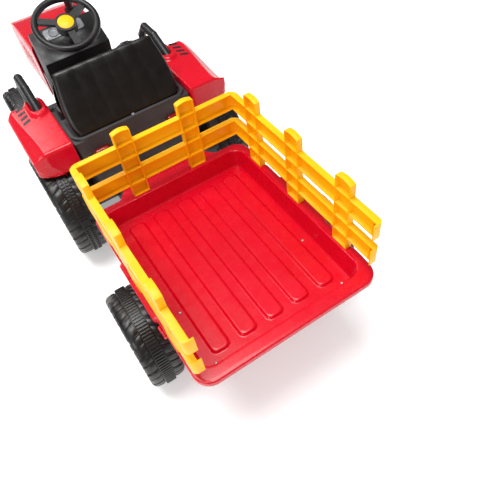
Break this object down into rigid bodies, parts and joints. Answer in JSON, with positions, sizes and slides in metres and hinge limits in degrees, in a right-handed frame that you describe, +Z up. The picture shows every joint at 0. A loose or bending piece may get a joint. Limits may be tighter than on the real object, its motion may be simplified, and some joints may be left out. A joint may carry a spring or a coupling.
{
  "type": "toy tractor",
  "caption": "Child's ride-on tractor with steered front wheels, fenders and grab bars, towing a tray trailer with a slatted fence on a pinned drawbar.",
  "frame": {"origin": "on the floor, at the middle of the whole train's box", "axes": "+Z up; -Y is the tractor's front, so the trailer is at +Y; +X is the driver's left"},
  "size_m": [0.515, 1.36, 0.462],
  "materials": {
    "red_plastic": "moulded red plastic with a soft gloss",
    "yellow_plastic": "moulded yellow-orange plastic with a satin gloss",
    "black_plastic": "fine-grained black plastic, semi-matt",
    "wheel_plastic": "blow-moulded black wheel plastic, semi-matt",
    "bright_steel": "zinc-plated steel",
    "black_metal": "black powder coat",
    "clear_lens": "clear moulded lens",
    "bezel_silver": "bright plated plastic",
    "red_lens": "dark red translucent lens",
    "battery_grey": "grey battery case",
    "dial_plate": "grey dial plate"
  },
  "bodies": {
    "tractor": {"chassis": "black_plastic", "footplate_left": "black_plastic", "footplate_right": "black_plastic", "front_bumper": "black_plastic", "hood": "red_plastic", "grille": "black_plastic", "headlight_bezels": "bezel_silver", "headlight_lenses": "clear_lens", "exhaust_stack": "black_plastic", "dashboard": "black_plastic", "gauge_panel": "dial_plate", "steering_bush": "black_plastic", "front_axle_beam": "black_metal", "rear_axle": "bright_steel", "rear_axle_nuts": "bright_steel", "gearbox_left": "black_plastic", "gearbox_right": "black_plastic", "battery": "battery_grey", "rear_deck": "black_plastic", "tail_lamps": "red_lens", "seat": "black_plastic", "seat_screw": "bright_steel", "fender_left": "red_plastic", "fender_right": "red_plastic", "grab_bar_left": "black_plastic", "grab_bar_right": "black_plastic", "hitch_bracket": "black_metal", "hitch_pin": "bright_steel"},
    "steering": {"steering_shaft": "bright_steel", "steering_wheel": "black_plastic"},
    "horn": {"horn_button": "yellow_plastic"},
    "track_rod": {"tie_rod": "black_metal"},
    "pedal": {"pedal": "black_plastic"},
    "lever": {"shift_lever": "black_plastic"},
    "knuckle_left": {"knuckle_left": "bright_steel", "front_nut_left": "bright_steel"},
    "front_wheel_left": {"front_wheel_left": "wheel_plastic", "front_hub_cap_left": "yellow_plastic"},
    "rear_wheel_left": {"rear_wheel_left": "wheel_plastic", "rear_hub_cap_left": "yellow_plastic"},
    "trailer_wheel_left": {"trailer_wheel_left": "wheel_plastic", "trailer_hub_cap_left": "yellow_plastic"},
    "knuckle_right": {"knuckle_right": "bright_steel", "front_nut_right": "bright_steel"},
    "front_wheel_right": {"front_wheel_right": "wheel_plastic", "front_hub_cap_right": "yellow_plastic"},
    "rear_wheel_right": {"rear_wheel_right": "wheel_plastic", "rear_hub_cap_right": "yellow_plastic"},
    "trailer_wheel_right": {"trailer_wheel_right": "wheel_plastic", "trailer_hub_cap_right": "yellow_plastic"},
    "trailer": {"drawbar": "black_metal", "trailer_frame": "black_metal", "trailer_axle": "bright_steel", "axle_spacers": "bright_steel", "trailer_axle_nuts": "bright_steel", "trailer_tray": "red_plastic", "fence_left": "yellow_plastic", "fence_right": "yellow_plastic", "fence_front": "yellow_plastic", "tray_screws": "bright_steel"}
  },
  "joints": [
    {"name": "steer", "type": "hinge", "parent": "tractor", "child": "steering", "pos_m": [0, -0.44835, 0.09258], "axis": [0, 0.4067, 0.9135], "range_deg": [-40, 40]},
    {"name": "steer_left", "type": "hinge", "parent": "tractor", "child": "knuckle_left", "pos_m": [0.13, -0.475, 0.1], "axis": [0, 0, 1], "range_deg": [-22, 22]},
    {"name": "steer_right", "type": "hinge", "parent": "tractor", "child": "knuckle_right", "pos_m": [-0.13, -0.475, 0.1], "axis": [0, 0, 1], "range_deg": [-22, 22]},
    {"name": "track_rod_slide", "type": "slide", "parent": "tractor", "child": "track_rod", "axis": [1, 0, 0], "range_m": [-0.017, 0.017]},
    {"name": "horn_press", "type": "slide", "parent": "steering", "child": "horn", "axis": [0, -0.4067, -0.9135], "range_m": [0, 0.003], "stiffness_N_per_m": 400, "springref_m": -0.002},
    {"name": "pedal_press", "type": "hinge", "parent": "tractor", "child": "pedal", "pos_m": [-0.141, -0.236, 0.118], "axis": [1, 0, 0], "range_deg": [0, 15], "stiffness_Nm_per_rad": 1, "springref_deg": -11.46},
    {"name": "lever_shift", "type": "hinge", "parent": "tractor", "child": "lever", "pos_m": [-0.112, -0.29, 0.138], "axis": [1, 0, 0], "range_deg": [-18, 18]},
    {"name": "front_spin_left", "type": "hinge", "parent": "knuckle_left", "child": "front_wheel_left", "pos_m": [0.19, -0.475, 0.1], "axis": [1, 0, 0], "continuous": true},
    {"name": "rear_spin_left", "type": "hinge", "parent": "tractor", "child": "rear_wheel_left", "pos_m": [0.208, -0.005, 0.14], "axis": [1, 0, 0], "continuous": true},
    {"name": "trailer_spin_left", "type": "hinge", "parent": "trailer", "child": "trailer_wheel_left", "pos_m": [0.221, 0.44, 0.112], "axis": [1, 0, 0], "continuous": true},
    {"name": "front_spin_right", "type": "hinge", "parent": "knuckle_right", "child": "front_wheel_right", "pos_m": [-0.19, -0.475, 0.1], "axis": [1, 0, 0], "continuous": true},
    {"name": "rear_spin_right", "type": "hinge", "parent": "tractor", "child": "rear_wheel_right", "pos_m": [-0.208, -0.005, 0.14], "axis": [1, 0, 0], "continuous": true},
    {"name": "trailer_spin_right", "type": "hinge", "parent": "trailer", "child": "trailer_wheel_right", "pos_m": [-0.221, 0.44, 0.112], "axis": [1, 0, 0], "continuous": true},
    {"name": "trailer_yaw", "type": "hinge", "parent": "tractor", "child": "trailer", "pos_m": [0, 0.105, 0.162], "axis": [0, 0, 1], "range_deg": [-22, 22]}
  ],
  "couplings": [
    {"joint": "steer_left", "follows": "steer", "ratio": 0.5},
    {"joint": "steer_right", "follows": "steer", "ratio": 0.5},
    {"joint": "track_rod_slide", "follows": "steer", "m_per_rad": -0.022}
  ]
}
